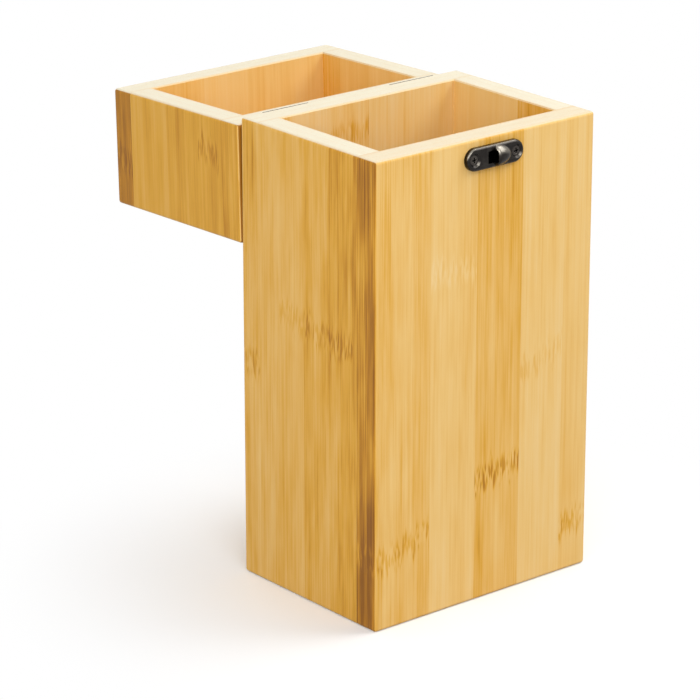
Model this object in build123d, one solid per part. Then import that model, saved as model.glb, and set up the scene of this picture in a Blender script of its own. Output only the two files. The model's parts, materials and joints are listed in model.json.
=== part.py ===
from build123d import *
import os
from collections import namedtuple
from math import atan2, degrees, hypot

# A tall bamboo box for chopsticks. Its lid is a shallower box on two butt hinges, which
# flips over the back and hangs there, and a swing hook on the lid's front catches in a
# hood on the box.
#
# Millimetres, +Z up. The origin is the centre of the underside. The latch is on the -Y
# side and the hinges are on the +Y side. Everything on the lid is modelled with the lid
# closed and the hook latched, and is then turned to where it hangs open.

# ---- Box and lid ----
box_width = 120.0
box_depth = 88.0
box_height = 205.0
lid_height = 52.0
wall = 12.0  # the four side boards
end_board = 8.0  # the base and the lid's top
rebate = 5.0  # step in the walls that the end boards sit in
rebate_corner = 6.0  # radius left by the cutter in the rebate
end_board_fit = 0.1  # gap round an end board
edge_round = 1.5  # outer edges
rim_ease = 0.5  # chamfer round the inside of each rim
closed_gap = 0.3  # between the rims when the lid is closed
open_angle = 181.6  # from closed to where the lid rests against the box's back

# ---- Hinges ----
hinge_width = 24.0
hinge_spacing = 70.0
leaf_height = 12.0  # from the pin's axis to the leaf's far edge
leaf_thickness = 0.6
leaf_inset = 0.35  # depth of the recess that a leaf lies in
leaf_corner = 1.5
leaf_fit = 0.1  # gap round a leaf in its recess
leaf_screw_spacing = 14.0
leaf_screw_reach = 7.4  # from the pin's axis to the screws
hinge_pin_radius = 0.55
hinge_pin_fit = 0.05  # radial running clearance
hinge_pin_chamfer = 0.15
pin_drop = 1.75  # the pin's axis below the box's rim
knuckles = 5
knuckle_gap = 0.2  # between neighbouring knuckles
knuckle_seam = 0.2  # open line where the rolled edge meets its leaf
knuckle_room = 0.2  # between a knuckle and what it turns in

# ---- Latch ----
latch_offset = 2.4  # the plates' centre to the right of the box's
plate_length = 31.0
plate_height = 9.8
plate_thickness = 2.6
plate_round = 1.3  # front edge
plate_screw_spacing = 23.0
plate_screw_sink = 0.8  # the screws' heads below the plate's face
strike_below_rim = 8.3
hook_plate_above_rim = 8.3
hood_mouth = -0.8  # the hood's open side, to the right of the plate's centre
hood_radius = 4.6
hood_straight = 1.5  # length of the hood before its nose
hood_nose = 7.8  # length of its rounded nose
hood_sink = 1.4  # the hood's axis below the plate's face
hood_lip = 1.1  # rounding of the mouth's edge
pocket_height = 5.2
pocket_reach = 3.6  # how far the pocket runs out of the hood's mouth
pocket_depth = 4.6  # how far it runs into the hood
pocket_floor = 0.6  # metal left behind the pocket
pocket_roof = 2.2  # above the plate's face, inside the hood
pocket_corner = 1.0  # under the hood
rivet_radius = 1.1
rivet_fit = 0.05  # radial running clearance in the hook
rivet_seat_fit = 0.02
rivet_head_radius = 2.3
rivet_head_height = 0.9
boss_radius = 3.2
boss_height = 0.3
hook_thickness = 1.0
hook_play = 0.1  # on each face of the hook
hook_edge = 0.15  # front edges
hook_inner_round = 0.8  # where the arms run into the pivot
hook_swing = 111.0  # from latched to where it hangs in balance on the open lid
pivot_radius = 3.0
arm_width = 2.8
arm_bow = 3.2  # how far the arm bows out to the left
finger_width = 2.0
finger_reach = 2.6  # how far the finger's end goes into the hood
finger_back = 6.0  # how far the finger runs back from the hood's mouth
tab_radius = 3.2
tab_reach = 12.6
tab_angle = 96.0  # anticlockwise from the right, hook latched
tab_neck = 2.4

# ---- Screws ----
ScrewSize = namedtuple("ScrewSize", "head_radius shank_radius length recess")
plate_screw = ScrewSize(head_radius=2.2, shank_radius=1.0, length=9.0, recess=0.8)
leaf_screw = ScrewSize(head_radius=1.6, shank_radius=0.8, length=8.0, recess=0.5)
screw_fit = 0.05  # gap round a screw in its hole
recess_width = 0.45

# ---- Places that follow from the sizes ----
inner_width = box_width - 2 * wall
inner_depth = box_depth - 2 * wall
back_y = box_depth / 2
front_y = -box_depth / 2
lid_rim_z = box_height + closed_gap
knuckle_radius = hinge_pin_radius + hinge_pin_fit + leaf_thickness
pin_y = back_y + knuckle_radius - leaf_inset
pin_z = box_height - pin_drop
hinge_axis = Axis((0, pin_y, pin_z), (1, 0, 0))
hinge_places = {"left": -hinge_spacing / 2, "right": hinge_spacing / 2}
strike_z = box_height - strike_below_rim
rivet_z = lid_rim_z + hook_plate_above_rim
hook_back = plate_thickness + boss_height + hook_play
hook_face = hook_back + hook_thickness
rivet_axis = Axis((latch_offset, 0, rivet_z), (0, -1, 0))
ABOVE = (Align.CENTER, Align.CENTER, Align.MIN)


def on_front(x, z, out=0.0):
    """A place on the front face whose local Z points out of the box and Y points up."""
    return Pos(x, front_y - out, z) * Rot(90, 0, 0)


def on_back(x, z, out=0.0):
    """A place on the back face whose local Z points out of the box."""
    return Pos(x, back_y + out, z) * Rot(-90, 0, 0)


# ---- Boards ----


def tray(height):
    """Four walls and an end board, closed at z = 0 and open at the given height."""
    block = Box(box_width, box_depth, height, align=ABOVE)
    block = fillet(block.edges(), edge_round)
    block -= Box(inner_width, inner_depth, height, align=ABOVE)
    mouth = Pos(0, 0, height - rim_ease) * Rectangle(inner_width, inner_depth)
    block -= extrude(mouth, amount=rim_ease, taper=-45)
    step_width = inner_width + 2 * rebate
    step_depth = inner_depth + 2 * rebate
    block -= extrude(RectangleRounded(step_width, step_depth, rebate_corner), amount=end_board)

    board_width = step_width - 2 * end_board_fit
    board_depth = step_depth - 2 * end_board_fit
    board_corner = rebate_corner - end_board_fit
    end = extrude(RectangleRounded(board_width, board_depth, board_corner), amount=end_board)

    long_board = Box(box_width, wall, height, align=ABOVE)
    short_board = Box(wall, inner_depth, height, align=ABOVE)
    long_middle = (box_depth - wall) / 2
    short_middle = (box_width - wall) / 2
    return {
        "front_panel": block & (Pos(0, -long_middle, 0) * long_board),
        "back_panel": block & (Pos(0, long_middle, 0) * long_board),
        "left_panel": block & (Pos(-short_middle, 0, 0) * short_board),
        "right_panel": block & (Pos(short_middle, 0, 0) * short_board),
        "end_panel": end,
    }


# ---- Screws ----


def screw_hole(size):
    """The hole for a countersunk screw whose head is level with z = 0. Its cone runs on
    above the head."""
    shank = size.shank_radius + screw_fit
    cone = size.head_radius - size.shank_radius
    above = size.head_radius
    below = size.length + screw_fit
    outline = Polyline(
        (0, above),
        (shank + cone + above, above),
        (shank, -cone),
        (shank, -below),
        (0, -below),
        close=True,
    )
    return revolve(Plane.XZ * make_face(outline), Axis.Z)


def screw(size):
    """A countersunk wood screw with a flat head and a cross recess, point down."""
    cone = size.head_radius - size.shank_radius
    outline = Polyline(
        (0, 0),
        (size.head_radius, 0),
        (size.shank_radius, -cone),
        (size.shank_radius, -size.length),
        (0, -size.length),
        close=True,
    )
    slot = Box(1.2 * size.head_radius, recess_width, 2 * size.recess)
    return revolve(Plane.XZ * make_face(outline), Axis.Z) - slot - Rot(0, 0, 90) * slot


# ---- Hinges ----


def leaf(side, own_knuckles):
    """One leaf round a pin at the origin, below it for side -1 and above it for side 1."""
    bore = hinge_pin_radius + hinge_pin_fit
    flat_middle = (leaf_thickness / 2 - knuckle_radius, side * leaf_height / 2)
    seam_middle = (knuckle_seam / 2 - bore, side * knuckle_radius / 2)
    section = Circle(knuckle_radius) + Pos(*flat_middle) * Rectangle(leaf_thickness, leaf_height)
    section -= Circle(bore)
    section -= Pos(*seam_middle) * Rectangle(knuckle_seam, knuckle_radius)
    half_width = hinge_width / 2
    blank = extrude(Plane.YZ * section, amount=half_width, both=True)

    outline_height = leaf_height + knuckle_radius + leaf_corner
    outline_middle = side * (leaf_height - outline_height / 2)
    outline = RectangleRounded(hinge_width, outline_height, leaf_corner)
    thick = 4 * knuckle_radius
    blank &= Pos(0, 0, outline_middle) * extrude(Plane.XZ * outline, amount=thick, both=True)

    pitch = hinge_width / knuckles
    turning_room = 2 * (knuckle_radius + knuckle_room)
    for index in range(knuckles):
        if index not in own_knuckles:
            middle = (index + 0.5) * pitch - half_width
            blank -= Pos(middle, 0, 0) * Box(pitch + knuckle_gap, thick, turning_room)
    for x in (-leaf_screw_spacing / 2, leaf_screw_spacing / 2):
        place = Pos(x, leaf_thickness - knuckle_radius, side * leaf_screw_reach)
        blank -= place * Rot(-90, 0, 0) * screw_hole(leaf_screw)
    return blank


def hinge_recess():
    """What the back boards lose for one hinge whose pin is at the origin."""
    seat = -knuckle_radius
    leaf_room = RectangleRounded(
        hinge_width + 2 * leaf_fit,
        2 * (leaf_height + leaf_fit),
        leaf_corner + leaf_fit,
    )
    reach = 2 * knuckle_radius
    recess = Pos(0, seat, 0) * extrude(Plane.XZ * leaf_room, amount=-reach)
    low = -(knuckle_radius + knuckle_room)
    high = max(-low, pin_drop + closed_gap / 2)
    notch = Box(
        hinge_width + 2 * leaf_fit,
        reach - low,
        high - low,
        align=(Align.CENTER, Align.MIN, Align.MIN),
    )
    recess += Pos(0, low, low) * notch
    for x in (-leaf_screw_spacing / 2, leaf_screw_spacing / 2):
        for z in (-leaf_screw_reach, leaf_screw_reach):
            place = Pos(x, leaf_thickness - knuckle_radius, z)
            recess += place * Rot(-90, 0, 0) * screw_hole(leaf_screw)
    return recess


def hinge_pin():
    pin = Rot(0, 90, 0) * Cylinder(hinge_pin_radius, hinge_width)
    return chamfer(pin.edges().filter_by(GeomType.CIRCLE), hinge_pin_chamfer)


def leaf_screws(side):
    """The screws of the two leaves on one side of the pins."""
    screws = []
    for middle in hinge_places.values():
        for x in (middle - leaf_screw_spacing / 2, middle + leaf_screw_spacing / 2):
            place = on_back(x, pin_z + side * leaf_screw_reach, leaf_thickness - leaf_inset)
            screws.append(place * screw(leaf_screw))
    return screws


# ---- Latch ----


def plate_screw_places():
    """Where a plate's screws go, on a plate with its back at z = 0."""
    head = plate_thickness - plate_screw_sink
    return [Pos(x, 0, head) for x in (-plate_screw_spacing / 2, plate_screw_spacing / 2)]


def plate():
    """An obround plate with its back at z = 0 and two countersunk holes."""
    blank = extrude(SlotOverall(plate_length, plate_height), amount=plate_thickness)
    blank = fillet(blank.edges().group_by(Axis.Z)[-1], plate_round)
    for place in plate_screw_places():
        blank -= place * screw_hole(plate_screw)
    return blank


def hood():
    """A rod along X with a long rounded nose, from the plate's back outwards."""
    rod = Rot(0, 90, 0) * Cylinder(hood_radius, hood_straight, align=ABOVE)
    corner = Rectangle(hood_nose, hood_radius, align=(Align.MIN, Align.MIN))
    quarter = Ellipse(hood_nose, hood_radius) & corner
    nose = Pos(hood_straight, 0, 0) * revolve(quarter, Axis.X)
    whole = rod + nose
    whole = fillet(whole.faces().sort_by(Axis.X)[0].edges(), hood_lip)
    whole = Pos(hood_mouth, 0, plate_thickness - hood_sink) * whole
    return whole & Box(plate_length, plate_length, plate_length, align=ABOVE)


def pocket():
    """The room for the hook's finger, in the plate's face and on into the hood."""
    length = pocket_reach + pocket_depth
    height = plate_thickness + pocket_roof - pocket_floor
    room = Box(length, pocket_height, height, align=(Align.MIN, Align.CENTER, Align.MIN))
    room = fillet(room.edges().filter_by(Axis.X).group_by(Axis.Z)[-1], pocket_corner)
    return Pos(hood_mouth - pocket_reach, 0, pocket_floor) * room


def strike_plate():
    """The plate with a hood on its front, open on its left side over a pocket."""
    return plate() + hood() - pocket()


def hook_plate():
    """The plate with a low round boss that the hook turns on."""
    boss = Cylinder(boss_radius, plate_thickness + boss_height, align=ABOVE)
    return plate() + boss - Cylinder(rivet_radius + rivet_seat_fit, 4 * plate_thickness)


def hook_rivet():
    """A rivet from the plate's back to its domed head in front of the hook."""
    head_under = hook_face + hook_play
    side = Polyline(
        (rivet_head_radius, head_under),
        (rivet_radius, head_under),
        (rivet_radius, 0),
        (0, 0),
        (0, head_under + rivet_head_height),
    )
    dome = TangentArc(
        (0, head_under + rivet_head_height),
        (rivet_head_radius, head_under),
        tangent=(1, 0),
    )
    return revolve(Plane.XZ * make_face(side + dome), Axis.Z)


def latch_hook():
    """The flat hook round its rivet: a thumb tab, a bowed arm, and a finger that follows
    a circle about the rivet, so that it enters the hood without rubbing."""
    mouth = Vector(hood_mouth, strike_z - rivet_z)
    path = hypot(mouth.X + 0.4 * finger_reach, mouth.Y)
    mouth_angle = degrees(atan2(mouth.Y, mouth.X))
    tip_angle = mouth_angle + degrees((finger_reach - finger_width / 2) / path)
    root_angle = mouth_angle - degrees(finger_back / path)
    finger = CenterArc((0, 0), path, root_angle, tip_angle - root_angle)
    root = finger @ 0
    bowed = Vector(root.X / 2 - arm_bow, root.Y / 2)
    arm = ThreePointArc((0, 0), bowed, root)
    tab = Vector(tab_reach, 0).rotate(Axis.Z, tab_angle)
    outline = Circle(pivot_radius) + SlotArc(arm, arm_width) + SlotArc(finger, finger_width)
    outline += Rot(0, 0, tab_angle) * Pos(tab_reach / 2, 0) * Rectangle(tab_reach, tab_neck)
    outline += Pos(tab.X, tab.Y) * Circle(tab_radius)
    outline = offset(outline, hook_inner_round, kind=Kind.ARC)
    outline = offset(outline, -hook_inner_round, kind=Kind.ARC)
    outline -= Circle(rivet_radius + rivet_fit)
    hook = extrude(outline, amount=hook_thickness)
    return Pos(0, 0, hook_back) * chamfer(hook.edges().group_by(Axis.Z)[-1], hook_edge)


# ---- Putting it together ----


def hung_open(shape):
    """Turns a lid piece from closed to where it hangs behind the box."""
    return shape.rotate(hinge_axis, -open_angle)


def box_nodes():
    boards = tray(box_height)
    for x in hinge_places.values():
        boards["back_panel"] -= Pos(x, pin_y, pin_z) * hinge_recess()
    strike_place = on_front(latch_offset, strike_z)
    screw_places = [strike_place * place for place in plate_screw_places()]
    for place in screw_places:
        boards["front_panel"] -= place * screw_hole(plate_screw)
    nodes = {"box_" + name: board for name, board in boards.items()}
    nodes["box_base_panel"] = nodes.pop("box_end_panel")
    nodes["strike_plate"] = strike_place * strike_plate()
    nodes["strike_plate_screws"] = [place * screw(plate_screw) for place in screw_places]
    for side, x in hinge_places.items():
        place = Pos(x, pin_y, pin_z)
        nodes[side + "_hinge_box_leaf"] = place * leaf(-1, range(0, knuckles, 2))
        nodes[side + "_hinge_pin"] = place * hinge_pin()
    nodes["box_hinge_screws"] = leaf_screws(-1)
    return nodes


def closed_lid_nodes():
    boards = {}
    for name, board in tray(lid_height).items():
        boards[name] = Pos(0, 0, lid_rim_z + lid_height) * mirror(board, about=Plane.XY)
    for x in hinge_places.values():
        boards["back_panel"] -= Pos(x, pin_y, pin_z) * hinge_recess()
    plate_place = on_front(latch_offset, rivet_z)
    screw_places = [plate_place * place for place in plate_screw_places()]
    for place in screw_places:
        boards["front_panel"] -= place * screw_hole(plate_screw)
    nodes = {"lid_" + name: board for name, board in boards.items()}
    nodes["lid_top_panel"] = nodes.pop("lid_end_panel")
    for side, x in hinge_places.items():
        place = Pos(x, pin_y, pin_z)
        nodes[side + "_hinge_lid_leaf"] = place * leaf(1, range(1, knuckles, 2))
    nodes["lid_hinge_screws"] = leaf_screws(1)
    nodes["hook_plate"] = plate_place * hook_plate()
    nodes["hook_plate_screws"] = [place * screw(plate_screw) for place in screw_places]
    nodes["hook_rivet"] = plate_place * hook_rivet()
    nodes["latch_hook"] = (plate_place * latch_hook()).rotate(rivet_axis, -hook_swing)
    return nodes


def main():
    os.makedirs("parts", exist_ok=True)
    nodes = box_nodes()
    for name, shape in closed_lid_nodes().items():
        if isinstance(shape, list):
            nodes[name] = [hung_open(piece) for piece in shape]
        else:
            nodes[name] = hung_open(shape)
    for name, shape in nodes.items():
        if isinstance(shape, list):
            shape = Compound(children=shape)
        export_step(shape, f"parts/{name}.step")


main()
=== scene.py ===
import json
import random
from collections import namedtuple
from math import cos, pi, radians, sin
from operator import attrgetter

import bmesh
import bpy
from bpy.props import FloatProperty, FloatVectorProperty, PointerProperty
from bpy.types import Operator, Panel, PropertyGroup
from mathutils import Matrix, Vector


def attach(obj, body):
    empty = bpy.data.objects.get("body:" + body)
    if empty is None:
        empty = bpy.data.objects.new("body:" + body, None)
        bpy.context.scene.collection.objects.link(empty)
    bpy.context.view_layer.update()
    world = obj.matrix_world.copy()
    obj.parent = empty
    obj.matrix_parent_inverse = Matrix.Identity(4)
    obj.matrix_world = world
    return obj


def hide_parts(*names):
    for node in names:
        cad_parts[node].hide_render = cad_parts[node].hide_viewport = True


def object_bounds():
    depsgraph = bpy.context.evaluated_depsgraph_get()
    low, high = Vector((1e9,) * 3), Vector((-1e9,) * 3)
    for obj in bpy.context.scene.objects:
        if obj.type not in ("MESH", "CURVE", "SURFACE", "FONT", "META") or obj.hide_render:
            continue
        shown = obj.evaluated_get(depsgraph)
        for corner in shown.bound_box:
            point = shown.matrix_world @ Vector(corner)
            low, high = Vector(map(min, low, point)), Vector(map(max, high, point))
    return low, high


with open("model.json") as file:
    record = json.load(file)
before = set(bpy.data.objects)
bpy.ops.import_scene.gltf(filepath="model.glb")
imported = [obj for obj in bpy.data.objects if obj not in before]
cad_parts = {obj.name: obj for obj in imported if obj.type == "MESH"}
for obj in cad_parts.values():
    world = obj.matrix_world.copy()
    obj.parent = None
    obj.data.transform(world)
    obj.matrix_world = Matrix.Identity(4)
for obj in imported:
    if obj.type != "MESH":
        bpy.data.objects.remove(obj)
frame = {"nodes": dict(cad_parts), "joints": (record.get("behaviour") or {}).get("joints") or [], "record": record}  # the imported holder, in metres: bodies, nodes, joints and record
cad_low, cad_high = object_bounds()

bl_info = {
    "name": "Flip-lid chopstick holder",
    "version": (1, 0, 0),
    "blender": (4, 5, 0),
    "location": "3D View > Sidebar > Holder",
    "description": "Bamboo, black bronze, cut screws and a studio for a flip-lid holder",
    "category": "Object",
}

MM = 0.001

# The lid's grain, screws and boards are worked out with the lid shut, because that is how
# it was made, and are then turned with it to where it hangs open.
lid_hinge = next(joint for joint in frame["joints"] if joint["name"] == "lid_hinge")
hinge_point = Vector(lid_hinge["pos_m"])
hinge_axis = Vector(lid_hinge["axis"])
shut_angle = radians(lid_hinge["range_deg"][1])
shut_turn = (
    Matrix.Translation(hinge_point)
    @ Matrix.Rotation(shut_angle, 4, hinge_axis)
    @ Matrix.Translation(-hinge_point)
)


# ---- Properties: the sizes and colours that a user would change ----


def colour(name, description, default):
    return FloatVectorProperty(
        name=name,
        description=description,
        subtype="COLOR",
        size=3,
        min=0.0,
        max=1.0,
        default=default,
    )


def length(name, description, default):
    return FloatProperty(
        name=name, description=description, unit="LENGTH", min=0.0, default=default
    )


def share(name, description, default):
    return FloatProperty(
        name=name, description=description, subtype="FACTOR", min=0.0, max=1.0, default=default
    )


def power(name, description, default):
    return FloatProperty(name=name, description=description, unit="POWER", min=0.0, default=default)


def angle(name, description, default):
    return FloatProperty(
        name=name, description=description, subtype="ANGLE", unit="ROTATION", default=default
    )


class BambooLook(PropertyGroup):
    pale: colour("Pale", "Palest strips", (0.87, 0.62, 0.285))
    straw: colour("Straw", "Light strips", (0.85, 0.55, 0.19))
    golden: colour("Golden", "Most of the strips", (0.80, 0.465, 0.116))
    amber: colour("Amber", "Darker strips", (0.73, 0.376, 0.042))
    brown: colour("Brown", "Fibre lines, node marks and edge grain", (0.53, 0.228, 0.016))
    dark: colour("Dark", "Darkest fibre of the strips' edges", (0.27, 0.10, 0.009))
    end_grain: colour("End grain", "Sawn ends that the rims show", (0.85, 0.785, 0.61))
    fibre_width: length("Fibre width", "Width of the wider fibre lines", 1.1 * MM)
    node_height: length("Node height", "Half the height of a node's marks", 8.0 * MM)
    relief: length("Fibre relief", "Depth of the fibres in the sanded face", 0.06 * MM)
    gloss: share("Roughness", "Roughness of the lacquered faces", 0.42)
    coat: share("Lacquer", "Weight of the clear lacquer", 0.03)


class BronzeLook(PropertyGroup):
    black: colour("Black", "Plating of the latch", (0.026, 0.023, 0.021))
    bloom: share("Bloom", "How far the cloudy patches go toward worn bronze", 0.04)
    hinge: colour("Hinges", "Plating of the hinges", (0.15, 0.12, 0.09))
    # Rubbed bronze for real edge wear, and on the latch also the colour of a painted highlight
    # along its upper edges and hood.
    wear_and_highlight: colour("Worn edge", "Bronze where an edge has been rubbed", (0.36, 0.33, 0.275))
    screw: colour("Screws", "Plating of the screws", (0.060, 0.052, 0.046))
    gloss: share("Roughness", "Roughness of the plating", 0.27)
    plate: length("Plate", "Thickness of the strike plate, under its hood", 2.6 * MM)
    edge_wear: share("Edge wear", "Wear of the sharp edges of hinges and screws", 0.6)
    # Strength of the latch's hand wear and of its painted highlight, which share one mask.
    hand_wear_and_highlight: share("Hand wear", "Wear of the latch where fingers rub it", 0.9)


class ScrewShape(PropertyGroup):
    dome: length("Dome", "Rise of the head's middle", 0.12 * MM)
    rim: length("Rim", "Rounding of the head's edge", 0.10 * MM)
    pitch: length("Pitch", "Distance between turns of the thread", 0.9 * MM)
    thread: share("Thread depth", "Depth of the thread as a share of the radius", 0.26)
    point: length("Point", "Length of the tapered point", 2.2 * MM)
    recess_span: share("Recess span", "Width of the cross as a share of the head", 0.62)
    recess_width: share("Recess width", "Width of one slot as a share of the head", 0.17)
    recess_depth: share("Recess depth", "Depth of the cross as a share of the head", 0.24)


class StudioLayout(PropertyGroup):
    aim: FloatVectorProperty(
        name="Aim",
        description="Point that the camera looks at",
        subtype="TRANSLATION",
        unit="LENGTH",
        size=3,
        default=(-0.0219, 0.0182, 0.1003),
    )
    distance: length("Distance", "From the camera to its aim", 1.5246)
    azimuth: angle("Azimuth", "Turn of the camera round the holder", radians(-39.71))
    elevation: angle("Elevation", "Height of the camera as an angle", radians(19.38))
    lens: FloatProperty(
        name="Lens", description="Focal length", unit="CAMERA", default=183.2
    )
    key_power: power("Key", "Power of the softbox in front on the left", 7.0)
    top_power: power("Top", "Power of the softbox above on the right", 9.5)
    side_power: power("Side", "Power of the large softbox on the left", 4.9)
    back_power: power("Back", "Power of the softbox low behind", 5.0)
    ambient: share("Ambient", "Brightness of the room", 0.43)
    floor: share("Floor", "Paleness of the floor", 0.98)
    floor_bounce: share("Floor bounce", "Light that the floor throws back", 0.55)
    floor_radius: length("Floor radius", "Radius of the round floor", 3.0)
    fade_start: length("Fade start", "Where the floor begins to fade to white", 0.05)
    fade_end: length("Fade end", "Where the floor has become white", 0.19)


LOOKS = {
    "holder_bamboo": BambooLook,
    "holder_bronze": BronzeLook,
    "holder_screws": ScrewShape,
    "holder_studio": StudioLayout,
}


# ---- Nodes: shader maths as plain expressions ----


class Wire:
    """A socket on which sums are written as plain expressions."""

    def __init__(self, nodes, socket):
        self.nodes = nodes
        self.socket = socket

    def sum(self, operation, *terms):
        return self.nodes.add("ShaderNodeMath", {"operation": operation}, dict(enumerate(terms)))

    def __add__(self, other):
        return self.sum("ADD", self, other)

    def __sub__(self, other):
        return self.sum("SUBTRACT", self, other)

    def __rsub__(self, other):
        return self.sum("SUBTRACT", other, self)

    def __mul__(self, other):
        return self.sum("MULTIPLY", self, other)

    def __gt__(self, other):
        return self.sum("GREATER_THAN", self, other)

    def __lt__(self, other):
        return self.sum("LESS_THAN", self, other)

    def __abs__(self):
        return self.sum("ABSOLUTE", self)

    __radd__ = __add__
    __rmul__ = __mul__


class Nodes:
    """The node tree of one finish."""

    def __init__(self, tree):
        self.tree = tree
        tree.nodes.clear()

    def add(self, kind, settings=None, sockets=None, output=0):
        """Adds a node, with its settings first, and gives back one of its outputs."""
        node = self.tree.nodes.new(kind)
        for name, value in (settings or {}).items():
            if name == "stops":
                self.set_stops(node.color_ramp, *value)
            else:
                setattr(node, name, value)
        for name, value in (sockets or {}).items():
            if isinstance(value, Wire):
                self.tree.links.new(value.socket, node.inputs[name])
            else:
                node.inputs[name].default_value = value
        return Wire(self, node.outputs[output]) if len(node.outputs) else None

    @staticmethod
    def set_stops(ramp, interpolation, stops):
        ramp.interpolation = interpolation
        for _ in range(len(stops) - len(ramp.elements)):
            ramp.elements.new(1.0)
        for element, (position, value) in zip(ramp.elements, stops):
            element.position = position
            element.color = (*value, 1.0)

    def point(self, x, y, z):
        return self.add("ShaderNodeCombineXYZ", sockets={0: x, 1: y, 2: z})

    def dot(self, vector, direction):
        settings = {"operation": "DOT_PRODUCT"}
        sockets = {0: vector, 1: direction}
        return self.add("ShaderNodeVectorMath", settings, sockets, output="Value")

    def noise(self, point, detail=2.0, roughness=0.5, distortion=0.0):
        sockets = {
            "Vector": point,
            "Scale": 1.0,
            "Detail": detail,
            "Roughness": roughness,
            "Distortion": distortion,
        }
        return self.add("ShaderNodeTexNoise", sockets=sockets)

    def slope(self, value, low, high):
        """0 below low and 1 above high, with a smooth rise between them."""
        settings = {"interpolation_type": "SMOOTHSTEP"}
        sockets = {"Value": value, "From Min": low, "From Max": high}
        return self.add("ShaderNodeMapRange", settings, sockets)

    def blend(self, factor, first, second):
        sockets = {0: factor, 6: first, 7: second}
        return self.add("ShaderNodeMix", {"data_type": "RGBA"}, sockets, output=2)

    def ramp(self, factor, interpolation, stops):
        settings = {"stops": (interpolation, stops)}
        return self.add("ShaderNodeValToRGB", settings, {"Fac": factor})

    def parts(self, colour_wire):
        """The red, green and blue of a colour."""
        return [
            self.add("ShaderNodeSeparateColor", sockets={0: colour_wire}, output=index)
            for index in range(3)
        ]


def new_finish(name):
    """A new material and its empty nodes."""
    material = bpy.data.materials.new(name)
    material.use_nodes = True
    return material, Nodes(material.node_tree)


def principled(nodes, sockets):
    shader = nodes.add("ShaderNodeBsdfPrincipled", sockets=sockets)
    nodes.add("ShaderNodeOutputMaterial", sockets={"Surface": shader})


def opaque(rgb):
    return (*rgb, 1.0)


# ---- Bamboo boards ----

# One strip of a laminated board. Widths and heights are in millimetres, and the rest are
# shares: tone runs from pale to dark, lines is how plainly its fibres show, node is the
# height of the node on its left edge, rise is the node's slope, mark is how dark the node
# is, below 0 for a pale one, and foot darkens the board's lower end.
Strip = namedtuple("Strip", "width tone lines node rise mark foot", defaults=(0.0,) * 4)

Side = namedtuple("Side", "into across along")
SIDES = {
    "front": Side(Vector((0, 1, 0)), Vector((1, 0, 0)), Vector((0, 0, 1))),
    "back": Side(Vector((0, -1, 0)), Vector((-1, 0, 0)), Vector((0, 0, 1))),
    "left": Side(Vector((1, 0, 0)), Vector((0, -1, 0)), Vector((0, 0, 1))),
    "right": Side(Vector((-1, 0, 0)), Vector((0, 1, 0)), Vector((0, 0, 1))),
    "base": Side(Vector((0, 0, 1)), Vector((0, 1, 0)), Vector((1, 0, 0))),
    "top": Side(Vector((0, 0, -1)), Vector((0, 1, 0)), Vector((1, 0, 0))),
}

# A board's faces lie side by side on one unrolled line, in millimetres.
UNROLLED = {"outer": 0.0, "inner": 128.0, "left_edge": 252.0, "right_edge": 266.0}
UNROLLED_LENGTH = 280.0
NODE_SHIFT = 200.0  # added to a node's height so that it is never below 0
NODE_SPAN = 600.0

CHOSEN_STRIPS = {
    "box_front_panel": {
        "outer": [
            Strip(29.0, 0.43, 0.55, 30.0, 0.28, 0.8),
            Strip(25.5, 0.31, 0.45, 152.0, -0.1, -0.7),
            Strip(24.5, 0.50, 0.40, 54.0, 0.18, 1.0),
            Strip(24.0, 0.24, 0.45, 98.0, 0.25, 0.7),
            Strip(17.0, 0.36, 0.35, 20.0, 0.20, 1.0),
        ],
        "left_edge": [Strip(12.0, 0.76, 0.80, 32.0, 0.0, -0.45, 0.21)],
    },
    "box_left_panel": {
        # These strips are darker than the front's: partly the boards' own tone, partly painted
        # shade of the left side, which the lamps light less than the front.
        "outer": [
            Strip(13.0, 0.52, 0.40),
            Strip(16.0, 0.53, 0.30, 127.0, -0.15, 0.45),
            Strip(16.0, 0.58, 0.45, 124.6, -0.15, 0.55),
            Strip(16.0, 0.65, 0.50, 122.2, -0.15, 0.6),
            Strip(3.0, 0.72, 0.60),
        ],
    },
    "box_back_panel": {
        "inner": [
            Strip(36.0, 0.16, 0.50, 150.0, 0.1, 0.4),
            Strip(24.0, 0.14, 0.60, 60.0, 0.1, 0.4),
            Strip(20.0, 0.22, 0.70, 190.0, 0.1, 0.9),
            Strip(22.0, 0.08, 0.60, 120.0, 0.1, 0.4),
            Strip(18.0, 0.26, 0.90, 192.0, -0.1, 1.0),
        ],
        "right_edge": [Strip(12.0, 0.52, 0.50, 99.0, 0.0, 0.8)],
    },
    "lid_left_panel": {
        "outer": [
            Strip(2.0, 0.67, 0.08),
            Strip(14.0, 0.68, 0.08, 15.5, 0.0, 0.5),
            Strip(22.0, 0.68, 0.08),
            Strip(26.0, 0.61, 0.05),
        ],
    },
    "lid_front_panel": {
        "inner": [
            Strip(40.0, 0.43, 0.30),
            Strip(24.0, 0.26, 0.15),
            Strip(20.0, 0.33, 0.20),
            Strip(22.0, 0.31, 0.20),
            Strip(14.0, 0.36, 0.30),
        ],
        "left_edge": [Strip(12.0, 0.86, 0.30, 32.0, 0.0, 0.5)],
    },
    "lid_back_panel": {
        "outer": [
            Strip(24.0, 0.40, 0.30),
            Strip(26.0, 0.34, 0.30),
            Strip(22.0, 0.46, 0.40),
            Strip(25.0, 0.38, 0.30),
            Strip(20.0, 0.42, 0.30),
            # The last, dark 3 mm strip along the lid's left end is painted shadow in the gap where
            # the lid meets the box.
            Strip(3.0, 0.90, 0.30),
        ],
        "right_edge": [Strip(12.0, 0.72, 0.25)],
    },
    "lid_right_panel": {
        "inner": [
            Strip(12.0, 0.50, 0.30),
            Strip(22.0, 0.40, 0.20),
            Strip(30.0, 0.34, 0.20),
        ],
    },
}

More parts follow.
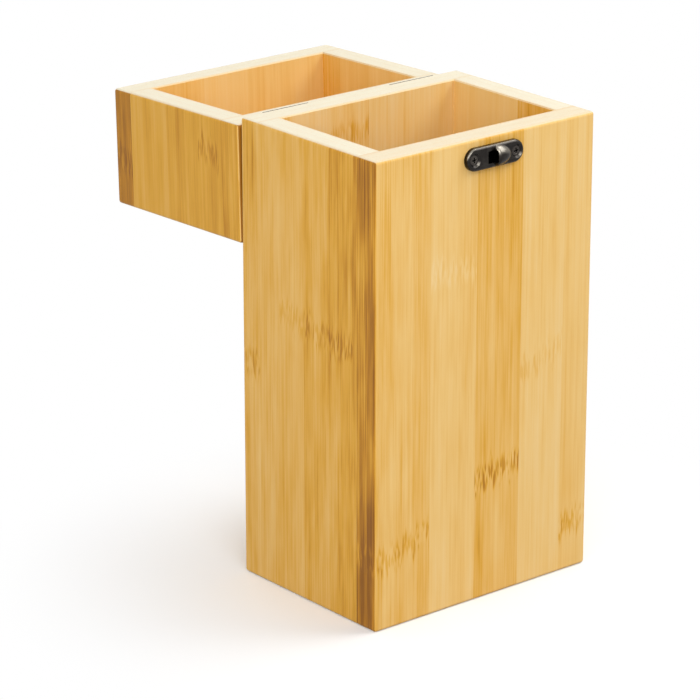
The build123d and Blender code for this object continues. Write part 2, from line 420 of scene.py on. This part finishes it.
END_TONES = {"box_front_panel": 0.14}  # how much darker than the rest its sawn ends are

# What the saw leaves to chance on every other face.
COMMON_WIDTHS = (18.0, 27.0)
COMMON_TONES = (0.26, 0.60)
COMMON_LINES = (0.15, 0.60)
COMMON_RISES = (-0.25, 0.25)
COMMON_MARKS = (-0.3, 0.7)
COMMON_NODES = (0.1, 0.9)  # of the board's height


def shut_box(node):
    """A node's lowest and highest corner with the lid shut."""
    turn = shut_turn if is_on_lid(node) else Matrix.Identity(4)
    corners = [turn @ vertex.co for vertex in frame["nodes"][node].data.vertices]
    low = Vector(min(corner[axis] for corner in corners) for axis in range(3))
    high = Vector(max(corner[axis] for corner in corners) for axis in range(3))
    return low, high


def is_on_lid(node):
    return node in frame["record"]["behaviour"]["bodies"]["lid"]


def reach(node, direction):
    """How far a node reaches along a direction with the lid shut: start and end."""
    ends = [corner.dot(direction) for corner in shut_box(node)]
    return min(ends), max(ends)


def common_strips(draw, width, height):
    """Strips that fill a face, as they happen to come."""
    strips = []
    left = width
    while left > 0:
        strip = Strip(
            draw.uniform(*COMMON_WIDTHS),
            draw.uniform(*COMMON_TONES),
            draw.uniform(*COMMON_LINES),
            draw.uniform(*COMMON_NODES) * height,
            draw.uniform(*COMMON_RISES),
            draw.uniform(*COMMON_MARKS),
        )
        strips.append(strip)
        left -= strip.width
    return strips


def strip_stops(node, width, height):
    """The stops of two ramps along the unrolled board: looks, and node places."""
    draw = random.Random(node)
    looks = []
    places = []
    for face, start in UNROLLED.items():
        strips = CHOSEN_STRIPS.get(node, {}).get(face)
        strips = strips or common_strips(draw, width, height)
        for strip in strips:
            position = start / UNROLLED_LENGTH
            sill = strip.node - strip.rise * start
            looks.append((position, (strip.tone, strip.lines, 0.5 + 0.5 * strip.mark)))
            place = ((sill + NODE_SHIFT) / NODE_SPAN, 0.5 + strip.rise, strip.foot)
            places.append((position, place))
            start += strip.width
            if face.endswith("edge"):
                break
    return looks, places


def board_places(nodes, node, side):
    """Where a point of a board lies, in millimetres from its corner, and how it faces."""
    found = []
    for output, centre in (("Object", hinge_point), ("Normal", Vector())):
        wire = nodes.add("ShaderNodeTexCoord", output=output)
        if is_on_lid(node):
            settings = {"rotation_type": "AXIS_ANGLE"}
            sockets = {"Vector": wire, "Center": centre, "Axis": hinge_axis, "Angle": shut_angle}
            wire = nodes.add("ShaderNodeVectorRotate", settings, sockets)
        found.append(wire)
    place, facing = found
    places = [
        (nodes.dot(place, direction) - reach(node, direction)[0]) * (1 / MM)
        for direction in side
    ]
    facings = [nodes.dot(facing, direction) for direction in side]
    return places, facings


# Sawn ends. Rates are to the millimetre, and the shades run from end grain to amber.
BUNDLE_RATE, BUNDLE_RIM, BUNDLE_SHADE = 1.5, (0.10, 0.42), 0.20
CLOUDING_ACROSS, CLOUDING_INTO, CLOUDING_SHADE, CLOUDING_MIDDLE = 0.09, 0.5, 0.22, 0.4
GLUE_PLACE, GLUE_RIM, GLUE_SHADE = 0.52, (0.05, 0.45), 0.16  # place as a share of thickness
SKIN_RIM, SKIN_SHADE = (0.3, 0.5), 0.2  # rim as shares of the thickness, from its middle


def end_grain(nodes, look, tone, across, into, thickness):
    """Sawn ends: pale, with the dots of the fibre bundles and the faint lines of the glue."""
    place = nodes.point(across * BUNDLE_RATE, into * BUNDLE_RATE, 0.0)
    dots = nodes.add("ShaderNodeTexVoronoi", sockets={"Vector": place, "Scale": 1.0})
    bundles = 1.0 - nodes.slope(dots, *BUNDLE_RIM)
    place = nodes.point(across * CLOUDING_ACROSS, into * CLOUDING_INTO, 3.0)
    clouding = nodes.noise(place, detail=3.0)
    glue_line = 1.0 - nodes.slope(abs(into - GLUE_PLACE * thickness), *GLUE_RIM)
    skin = nodes.slope(abs(into - thickness / 2), *(part * thickness for part in SKIN_RIM))
    shade = BUNDLE_SHADE * bundles + CLOUDING_SHADE * (clouding - CLOUDING_MIDDLE)
    shade = tone + shade + GLUE_SHADE * glue_line * clouding + SKIN_SHADE * skin
    return nodes.blend(shade, opaque(look.end_grain), opaque(look.amber)), bundles


# Streaks of the wood: how many to a fibre's width, and how many times as long as wide.
Streaks = namedtuple("Streaks", "rate stretch detail roughness", defaults=(2.0, 0.5))
BROAD = Streaks(0.13, 22.0)
CLOUD = Streaks(0.22, 6.0)
FIBRE = Streaks(0.9, 70.0, 3.0, 0.6)
FINE = Streaks(3.0, 90.0)
HAIR = Streaks(2.0, 150.0)
NODE_EDGE = Streaks(0.9, 36.0)
NODE_STROKE = Streaks(1.15, 8.0, 1.0)

# How far each of them shifts a strip's tone.
BROAD_SHIFT, CLOUD_SHIFT, FIBRE_SHIFT, FINE_SHIFT = 0.50, 0.35, 0.50, 0.30
QUIET_GRAIN, PLAIN_GRAIN = 0.40, 1.10  # the grain's strength, and what plain lines add to it
HAIR_RIM, HAIR_SHIFT, HAIR_SHIFT_AT_RIM = (0.54, 0.70), 0.08, 0.20
RIM_FADE = (8.0, 95.0)  # millimetres from the rim over which the lines grow fainter
STROKE_RIM, STROKE_SHIFT, BETWEEN_STROKES = (0.36, 0.60), 0.36, 0.07
NODE_WANDER, NODE_CORE = 20.0, 0.25  # in millimetres, and as a share of the node's height
FOOT_FADE, FOOT_WANDER = (35.0, 75.0), 30.0  # millimetres
WOOD_TONES = {"pale": 0.0, "straw": 0.3, "golden": 0.5, "amber": 0.65, "brown": 0.8, "dark": 1.0}

EDGE_TURN = cos(radians(45))  # a face turned further than this is one of the board's edges
SAWN_TURN = (0.55, 0.85)  # a face turned this far along the fibres is sawn across them
FIBRE_RELIEF, FINE_RELIEF, HAIR_RELIEF, BUNDLE_RELIEF = 0.6, 0.4, 0.5, 0.5
FIBRE_ROUGHNESS, SAWN_ROUGHNESS = 0.12, 0.18


def bamboo(node, side_name, look):
    """The finish of one board: strips, fibres, nodes, and end grain where it is sawn."""
    material, nodes = new_finish("bamboo_" + node)
    side = SIDES[side_name]
    sizes = [(high - low) / MM for low, high in (reach(node, way) for way in side)]
    thickness, width, height = sizes
    (into, across, along), (faces_in, faces_across, faces_along) = board_places(nodes, node, side)

    inner = faces_in > 0.5
    edge = abs(faces_across) > EDGE_TURN
    right = faces_across > EDGE_TURN
    on_face = across + UNROLLED["inner"] * inner
    between_edges = UNROLLED["right_edge"] - UNROLLED["left_edge"]
    on_edge = into + UNROLLED["left_edge"] + right * between_edges
    unrolled = on_face + edge * (on_edge - on_face)

    looks, node_places = strip_stops(node, width, height)
    position = unrolled * (1 / UNROLLED_LENGTH)
    tone, lines, mark = nodes.parts(nodes.ramp(position, "CONSTANT", looks))
    sill, rise, foot = nodes.parts(nodes.ramp(position, "CONSTANT", node_places))
    mark = (mark - 0.5) * 2.0
    node_line = (sill * NODE_SPAN - NODE_SHIFT) + (rise - 0.5) * unrolled

    seed = random.Random(node).uniform(0.0, 90.0)
    fibre_rate = MM / look.fibre_width

    def streaks(kind):
        rate = kind.rate * fibre_rate
        point = nodes.point(unrolled * rate, seed, along * (rate / kind.stretch))
        return nodes.noise(point, kind.detail, kind.roughness)

    broad, cloud, fibre, fine = [streaks(kind) for kind in (BROAD, CLOUD, FIBRE, FINE)]
    hair = nodes.slope(streaks(HAIR), *HAIR_RIM)
    rim_place = 0.0 if is_on_lid(node) else height
    near_rim = 1.0 - nodes.slope(abs(along - rim_place), *RIM_FADE)

    off_node = along - node_line + NODE_WANDER * (streaks(NODE_EDGE) - 0.5)
    node_half = look.node_height / MM
    band = 1.0 - nodes.slope(abs(off_node), NODE_CORE * node_half, node_half)
    strokes = nodes.slope(streaks(NODE_STROKE), *STROKE_RIM)
    foot_line = along + FOOT_WANDER * (broad - 0.5)

    grain = BROAD_SHIFT * (broad - 0.5) + CLOUD_SHIFT * (cloud - 0.5)
    grain = grain + FIBRE_SHIFT * (fibre - 0.5) + FINE_SHIFT * (fine - 0.5)
    tone = tone + (QUIET_GRAIN + PLAIN_GRAIN * lines) * grain
    tone = tone + lines * hair * (HAIR_SHIFT + HAIR_SHIFT_AT_RIM * near_rim)
    tone = tone + mark * band * (STROKE_SHIFT * strokes - BETWEEN_STROKES)
    tone = tone + foot * (1.0 - nodes.slope(foot_line, *FOOT_FADE))
    stops = [(place, getattr(look, name)) for name, place in WOOD_TONES.items()]
    wood = nodes.ramp(tone, "LINEAR", stops)

    sawn = nodes.slope(abs(faces_along), *SAWN_TURN)
    end_tone = END_TONES.get(node, 0.0)
    ends, bundles = end_grain(nodes, look, end_tone, across, into, thickness)
    relief = FIBRE_RELIEF * fibre + FINE_RELIEF * fine - HAIR_RELIEF * lines * hair
    relief = (1.0 - sawn) * relief - sawn * BUNDLE_RELIEF * bundles
    normal = nodes.add(
        "ShaderNodeBump",
        sockets={"Strength": 0.6, "Distance": look.relief, "Height": relief},
    )
    principled(
        nodes,
        {
            "Base Color": nodes.blend(sawn, wood, ends),
            "Roughness": look.gloss + FIBRE_ROUGHNESS * (fibre - 0.5) + SAWN_ROUGHNESS * sawn,
            "Specular IOR Level": 0.2,
            "Coat Weight": look.coat,
            "Coat Roughness": 0.3,
            "Normal": normal,
        },
    )
    return material


# ---- Black bronze ----

FRONT = Vector((0, -1, 0))
UP = Vector((0, 0, 1))
RUBBED_AND_LIT = Vector((-0.6, 0.0, 0.8))  # the way that the edges face which fingers rub and which catch the lamps, so the lighter metal there is partly a painted highlight
FACE_TURN = (0.90, 0.99)  # a face that is turned to the front this far is left black
EDGE_REACH = (0.57, 0.86)
# The hood's top, facing up toward the lamps, gets the same lighter metal: partly wear, partly a
# painted highlight.
HOOD_STAND, HOOD_REACH, HOOD_WEAR_AND_HIGHLIGHT = 1.0 * MM, (0.05, 0.50), 0.42
HOLLOW_SIZE, HOLLOW = 4.0 * MM, (0.76, 0.93)
BEVEL = 0.25 * MM
BLOTCH_RATE, BLOTCH_RIM, BLOOM_RIM = 260.0, (0.35, 0.65), (0.42, 0.68)  # rate to the metre
PITTING_RATE, PITTING_DEPTH = 2400.0, 0.02 * MM
SHARP = (0.02, 0.22)
BLOTCH_ROUGHNESS, PITTING_ROUGHNESS = 0.08, 0.06


def rubbed_and_highlit(nodes, place, look):
    """Where fingers rub the latch and where its highlight is painted: its rounded edges that face
    up and left and the top of the strike's hood, toward the lamps, and nothing in a hollow. The
    wear and the painted highlight are worked out on the latch itself, so they move with the lid."""
    facing = nodes.add("ShaderNodeTexCoord", output="Normal")
    off_face = 1.0 - nodes.slope(abs(nodes.dot(facing, FRONT)), *FACE_TURN)
    edges = nodes.slope(nodes.dot(facing, RUBBED_AND_LIT), *EDGE_REACH)
    strike_face = reach("strike_plate", FRONT)[0] + look.plate
    hood = nodes.slope(nodes.dot(place, FRONT), strike_face, strike_face + HOOD_STAND)
    hood = HOOD_WEAR_AND_HIGHLIGHT * hood * nodes.slope(nodes.dot(facing, UP), *HOOD_REACH)
    sockets = {"Distance": HOLLOW_SIZE}
    open_air = nodes.add("ShaderNodeAmbientOcclusion", {"samples": 8}, sockets, output="AO")
    return off_face * nodes.slope(open_air, *HOLLOW) * (edges + hood)


def black_bronze(name, colour_value, look, hand_rubbed_and_lit=False):
    """Plated metal with a cloudy bloom and fine pitting, rubbed at its sharp edges, or on the latch
    rubbed and given a painted highlight on its upper edges and hood.
    """
    material, nodes = new_finish(name)
    place = nodes.add("ShaderNodeTexCoord", output="Object")
    rounded = nodes.add("ShaderNodeBevel", {"samples": 6}, {"Radius": BEVEL})
    sockets = {"Vector": place, "Scale": BLOTCH_RATE, "Detail": 3.0}
    blotches = nodes.add("ShaderNodeTexNoise", sockets=sockets)
    sockets = {"Vector": place, "Scale": PITTING_RATE, "Detail": 2.0}
    pitting = nodes.add("ShaderNodeTexNoise", sockets=sockets)
    if hand_rubbed_and_lit:
        # On the latch this mask is partly hand wear and partly a painted highlight.
        wear_and_highlight = look.hand_wear_and_highlight * rubbed_and_highlit(nodes, place, look)
    else:
        facing = nodes.add("ShaderNodeNewGeometry", output="Normal")
        sharp = nodes.slope(1.0 - nodes.dot(rounded, facing), *SHARP)
        wear_and_highlight = look.edge_wear * sharp * nodes.slope(blotches, *BLOTCH_RIM)
    bloom = look.bloom * nodes.slope(blotches, *BLOOM_RIM)
    plating = nodes.blend(bloom, opaque(colour_value), opaque(look.wear_and_highlight))
    roughness = BLOTCH_ROUGHNESS * (blotches - 0.5) + PITTING_ROUGHNESS * (pitting - 0.5)
    sockets = {"Strength": 0.35, "Distance": PITTING_DEPTH, "Height": pitting, "Normal": rounded}
    principled(
        nodes,
        {
            "Base Color": nodes.blend(wear_and_highlight, plating, opaque(look.wear_and_highlight)),
            "Metallic": 1.0,
            "Roughness": look.gloss + roughness,
            "Normal": nodes.add("ShaderNodeBump", sockets=sockets),
        },
    )
    return material


# ---- Screws ----

TURN = 36  # vertices round a screw
ROWS_TO_A_PITCH = 8
DOME_ROWS, RIM_ROWS = 6, 3
BLUNT = 0.06  # the point's width as a share of the shank
CREST = 2.6  # how quickly the thread rises from its hollow
RECESS_TAPER = {1: 1.25, -1: 0.55}  # the cross's width above and below the head's top
SMOOTH_UP_TO = radians(38)
Spot = namedtuple("Spot", "place head shank length")


def screw_spots(node, way):
    """Where each screw of a node sits, with the lid shut. Its head faces along way."""
    turn = shut_turn if is_on_lid(node) else Matrix.Identity(4)
    vertices = frame["nodes"][node].data.vertices
    points = sorted((turn @ vertex.co for vertex in vertices), key=attrgetter("x"))
    groups = [[points[0]]]
    for point in points[1:]:
        if point.x - groups[-1][-1].x > MM:
            groups.append([])
        groups[-1].append(point)
    spots = []
    for group in groups:
        heights = [point.dot(way) for point in group]
        top, tip = max(heights), min(heights)
        head = (group[-1].x - group[0].x) / 2
        middle = (group[-1].x + group[0].x) / 2
        at_tip = [point.x for point, z in zip(group, heights) if z < tip + 0.1 * MM]
        middle_z = (min(point.z for point in group) + max(point.z for point in group)) / 2
        place = Vector((middle, 0.0, middle_z)) + way * top
        spots.append(Spot(place, head, (max(at_tip) - min(at_tip)) / 2, top - tip))
    return spots


def screw_rows(spot, shape):
    """Rows of a screw from the top of its head to its point: height, radius, thread depth."""
    flat = spot.head - shape.rim
    rows = []
    for step in range(1, DOME_ROWS + 1):
        radius = flat * step / DOME_ROWS
        rows.append((shape.dome * (1 - (radius / spot.head) ** 2), radius, 0.0))
    for step in range(1, RIM_ROWS + 1):
        turned = pi / 2 * step / RIM_ROWS
        drop = shape.rim * (1 - cos(turned))
        rows.append((-drop, flat + shape.rim * sin(turned), 0.0))
    neck = spot.head - spot.shank
    rows.append((-neck, spot.shank, 0.0))
    start = -neck - shape.pitch
    end = -spot.length
    count = round((start - end) / shape.pitch * ROWS_TO_A_PITCH)
    for step in range(count + 1):
        height = start + (end - start) * step / count
        taper = min(1.0, BLUNT + (height - end) / shape.point)
        fade = min(1.0, step / ROWS_TO_A_PITCH)
        rows.append((height, spot.shank * taper, shape.thread * fade))
    return rows


def screw_mesh(spot, shape):
    """A screw with its head at z = 0 and its point down, before the recess is cut."""
    mesh = bmesh.new()
    loops = []
    for height, radius, thread in screw_rows(spot, shape):
        loop = []
        for index in range(TURN):
            turned = 2 * pi * index / TURN
            phase = (height / shape.pitch - index / TURN) % 1.0
            out = radius * (1 - thread * min(1.0, CREST * abs(phase - 0.5)))
            loop.append(mesh.verts.new((out * cos(turned), out * sin(turned), height)))
        loops.append(loop)
    for above, below in zip(loops, loops[1:]):
        for index in range(TURN):
            after = (index + 1) % TURN
            mesh.faces.new((above[index], below[index], below[after], above[after]))
    mesh.faces.new(loops[0])
    mesh.faces.new(reversed(loops[-1]))
    bmesh.ops.recalc_face_normals(mesh, faces=mesh.faces)
    return mesh


def cross_mesh(spot, shape):
    """The tapered cross that is cut out of a screw's head."""
    span = shape.recess_span * spot.head
    half = shape.recess_width * spot.head
    depth = 2 * shape.recess_depth * spot.head
    mesh = bmesh.new()
    loops = []
    for way, taper in RECESS_TAPER.items():
        arm, side = span * taper, half * taper
        outline = [
            (arm, -side),
            (arm, side),
            (side, side),
            (side, arm),
            (-side, arm),
            (-side, side),
            (-arm, side),
            (-arm, -side),
            (-side, -side),
            (-side, -arm),
            (side, -arm),
            (side, -side),
        ]
        loops.append([mesh.verts.new((x, y, way * depth)) for x, y in outline])
    top, bottom = loops
    for index in range(len(top)):
        after = (index + 1) % len(top)
        mesh.faces.new((bottom[index], bottom[after], top[after], top[index]))
    mesh.faces.new(top)
    mesh.faces.new(reversed(bottom))
    bmesh.ops.recalc_face_normals(mesh, faces=mesh.faces)
    return mesh


def link(name, mesh):
    """A new object that holds a finished bmesh."""
    data = bpy.data.meshes.new(name)
    mesh.to_mesh(data)
    mesh.free()
    thing = bpy.data.objects.new(name, data)
    bpy.context.scene.collection.objects.link(thing)
    return thing


def cut_screw(name, spot, shape):
    """One finished screw mesh at the origin, with its cross recess."""
    blank = link(name + "_blank", screw_mesh(spot, shape))
    cutter = link(name + "_cutter", cross_mesh(spot, shape))
    cut = blank.modifiers.new("recess", "BOOLEAN")
    cut.operation = "DIFFERENCE"
    cut.solver = "EXACT"
    cut.object = cutter
    graph = bpy.context.evaluated_depsgraph_get()
    data = bpy.data.meshes.new_from_object(blank.evaluated_get(graph))
    for spare in (blank, cutter):
        bpy.data.objects.remove(spare)
    return data


def make_screws(node, way, finish, shape):
    """Replaces a CAD node of screws with threaded ones in the same holes."""
    body = "lid" if is_on_lid(node) else "box"
    turn = shut_turn.inverted() if is_on_lid(node) else Matrix.Identity(4)
    spots = screw_spots(node, way)
    if not spots:
        raise RuntimeError("no screws were found in " + node)
    draw = random.Random(node)
    joined = bmesh.new()
    for spot in spots:
        data = cut_screw(node, spot, shape)
        stand = way.to_track_quat("Z", "Y").to_matrix().to_4x4()
        driven = Matrix.Rotation(draw.uniform(0.0, pi / 2), 4, "Z")
        data.transform(turn @ Matrix.Translation(spot.place) @ stand @ driven)
        joined.from_mesh(data)
        bpy.data.meshes.remove(data)
    piece = link(node + "_threaded", joined)
    piece.data.materials.append(finish)
    for polygon in piece.data.polygons:
        polygon.use_smooth = True
    piece.data.set_sharp_from_angle(angle=SMOOTH_UP_TO)
    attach(piece, body)
    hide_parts(node)


# ---- Studio ----


def seen_rays(nodes):
    """1 for what the camera sees, straight, in a reflection or through glass."""
    rays = [
        nodes.add("ShaderNodeLightPath", output=output)
        for output in ("Is Camera Ray", "Is Glossy Ray", "Is Transmission Ray")
    ]
    return (rays[0] + rays[1] + rays[2]) > 0.5


def make_world(look):
    world = bpy.data.worlds.new("studio_room")
    world.use_nodes = True
    bpy.context.scene.world = world
    nodes = Nodes(world.node_tree)
    grey = opaque((look.ambient,) * 3)
    white = opaque((1.0,) * 3)
    background = nodes.add(
        "ShaderNodeBackground", sockets={"Color": nodes.blend(seen_rays(nodes), grey, white)}
    )
    nodes.add("ShaderNodeOutputWorld", sockets={"Surface": background})


def make_floor(look):
    """A round pale floor that takes the holder's shadow and fades to white further out."""
    mesh = bmesh.new()
    bmesh.ops.create_circle(mesh, cap_ends=True, radius=look.floor_radius, segments=96)
    floor = link("studio_floor", mesh)
    material, nodes = new_finish("pale_floor")
    place = nodes.add("ShaderNodeTexCoord", output="Object")
    settings = {"operation": "LENGTH"}
    distance = nodes.add("ShaderNodeVectorMath", settings, {0: place}, output="Value")
    seen = seen_rays(nodes)
    paint = nodes.blend(seen, opaque((look.floor_bounce,) * 3), opaque((look.floor,) * 3))
    diffuse = nodes.add("ShaderNodeBsdfDiffuse", sockets={"Color": paint})
    glow = nodes.add("ShaderNodeEmission", sockets={"Color": opaque((1.0,) * 3)})
    far = nodes.slope(distance, look.fade_start, look.fade_end) * seen
    surface = nodes.add("ShaderNodeMixShader", sockets={0: far, 1: diffuse, 2: glow})
    nodes.add("ShaderNodeOutputMaterial", sockets={"Surface": surface})
    floor.data.materials.append(material)


# Each softbox faces the holder and runs between two points, in metres from its middle.
Softbox = namedtuple("Softbox", "name start end depth")
SOFTBOXES = (
    Softbox("key", (-0.98, -0.95, 0.36), (-0.20, -0.82, 1.12), 0.45),
    Softbox("top", (0.80, -0.86, 0.76), (0.80, 0.06, 1.16), 0.60),
    Softbox("side", (-1.35, -0.75, 0.52), (-1.35, 0.05, 0.52), 0.80),
    Softbox("back", (0.75, 1.30, 0.26), (-0.25, 1.50, 0.26), 0.60),
)


def make_softbox(box, power):
    name = box.name + "_softbox"
    start, end = Vector(box.start), Vector(box.end)
    along, centre = end - start, (start + end) / 2
    data = bpy.data.lights.new(name, "AREA")
    data.shape = "RECTANGLE"
    data.size = along.length
    data.size_y = box.depth
    data.energy = power
    lamp = bpy.data.objects.new(name, data)
    bpy.context.scene.collection.objects.link(lamp)
    along.normalize()
    back = (centre - along * centre.dot(along)).normalized()
    stand = Matrix((along, back.cross(along), back)).transposed().to_4x4()
    lamp.matrix_world = Matrix.Translation((cad_low + cad_high) / 2 + centre) @ stand


def make_camera(look):
    data = bpy.data.cameras.new("studio_camera")
    data.lens = look.lens
    camera = bpy.data.objects.new("studio_camera", data)
    bpy.context.scene.collection.objects.link(camera)
    level = look.distance * cos(look.elevation)
    back = (
        sin(look.azimuth) * level,
        -cos(look.azimuth) * level,
        look.distance * sin(look.elevation),
    )
    camera.location = Vector(look.aim) + Vector(back)
    camera.rotation_euler = (pi / 2 - look.elevation, 0.0, look.azimuth)
    bpy.context.scene.camera = camera


# ---- Operators ----


def finish_nodes(names, material):
    """Gives CAD nodes a finish in their material slots."""
    for name in names:
        data = frame["nodes"][name].data
        data.materials.clear()
        data.materials.append(material)


def finish_boards(body, end_name):
    """Gives the five boards of the box or the lid their bamboo."""
    look = bpy.context.scene.holder_bamboo
    for side_name in ("front", "back", "left", "right", end_name):
        node = f"{body}_{side_name}_panel"
        finish_nodes([node], bamboo(node, side_name, look))


class HOLDER_OT_box_boards(Operator):
    """Finish the box's boards in laminated bamboo"""

    bl_idname = "holder.box_boards"
    bl_label = "Finish box boards"

    def execute(self, context):
        finish_boards("box", "base")
        return {"FINISHED"}


class HOLDER_OT_lid_boards(Operator):
    """Finish the lid's boards in laminated bamboo"""

    bl_idname = "holder.lid_boards"
    bl_label = "Finish lid boards"

    def execute(self, context):
        finish_boards("lid", "top")
        return {"FINISHED"}


class HOLDER_OT_latch(Operator):
    """Finish the strike plate, the hook plate, its rivet and its hook"""

    bl_idname = "holder.latch"
    bl_label = "Finish latch"

    def execute(self, context):
        look = context.scene.holder_bronze
        plating = black_bronze("black_bronze_latch", look.black, look, hand_rubbed_and_lit=True)
        finish_nodes(["strike_plate", "hook_plate", "hook_rivet", "latch_hook"], plating)
        return {"FINISHED"}


class HOLDER_OT_hinges(Operator):
    """Finish the hinge leaves and their pins"""

    bl_idname = "holder.hinges"
    bl_label = "Finish hinges"

    def execute(self, context):
        look = context.scene.holder_bronze
        plating = black_bronze("black_bronze_hinges", look.hinge, look)
        for side in ("left", "right"):
            parts = [f"{side}_hinge_{part}" for part in ("box_leaf", "lid_leaf", "pin")]
            finish_nodes(parts, plating)
        return {"FINISHED"}


class HOLDER_OT_plate_screws(Operator):
    """Make the threaded screws of the two latch plates"""

    bl_idname = "holder.plate_screws"
    bl_label = "Make plate screws"

    def execute(self, context):
        look = context.scene.holder_bronze
        plating = black_bronze("black_bronze_plate_screws", look.screw, look)
        for node in ("strike_plate_screws", "hook_plate_screws"):
            make_screws(node, FRONT, plating, context.scene.holder_screws)
        return {"FINISHED"}


class HOLDER_OT_hinge_screws(Operator):
    """Make the threaded screws of the hinge leaves"""

    bl_idname = "holder.hinge_screws"
    bl_label = "Make hinge screws"

    def execute(self, context):
        look = context.scene.holder_bronze
        plating = black_bronze("black_bronze_hinge_screws", look.screw, look)
        for node in ("box_hinge_screws", "lid_hinge_screws"):
            make_screws(node, -FRONT, plating, context.scene.holder_screws)
        return {"FINISHED"}


class HOLDER_OT_studio(Operator):
    """Set up the floor, the room, the softboxes and the camera"""

    bl_idname = "holder.studio"
    bl_label = "Set up studio"

    def execute(self, context):
        look = context.scene.holder_studio
        context.scene.view_settings.view_transform = "Standard"
        make_world(look)
        make_floor(look)
        for box in SOFTBOXES:
            make_softbox(box, getattr(look, box.name + "_power"))
        make_camera(look)
        return {"FINISHED"}


OPERATORS = (
    HOLDER_OT_studio,
    HOLDER_OT_box_boards,
    HOLDER_OT_lid_boards,
    HOLDER_OT_latch,
    HOLDER_OT_hinges,
    HOLDER_OT_plate_screws,
    HOLDER_OT_hinge_screws,
)


class HOLDER_PT_sidebar(Panel):
    """Sizes, colours and steps of the holder"""

    bl_label = "Chopstick holder"
    bl_idname = "HOLDER_PT_sidebar"
    bl_space_type = "VIEW_3D"
    bl_region_type = "UI"
    bl_category = "Holder"

    def draw(self, context):
        for attribute, group in LOOKS.items():
            box = self.layout.box()
            for name in group.__annotations__:
                box.prop(getattr(context.scene, attribute), name)
        for operator in OPERATORS:
            self.layout.operator(operator.bl_idname)


CLASSES = (*LOOKS.values(), *OPERATORS, HOLDER_PT_sidebar)


def register():
    for cls in CLASSES:
        bpy.utils.register_class(cls)
    for attribute, group in LOOKS.items():
        setattr(bpy.types.Scene, attribute, PointerProperty(type=group))


def unregister():
    for attribute in LOOKS:
        delattr(bpy.types.Scene, attribute)
    for cls in reversed(CLASSES):
        bpy.utils.unregister_class(cls)


def main():
    register()
    for operator in OPERATORS:
        area, step = operator.bl_idname.split(".")
        getattr(getattr(bpy.ops, area), step)()


if __name__ == "__main__":
    main()
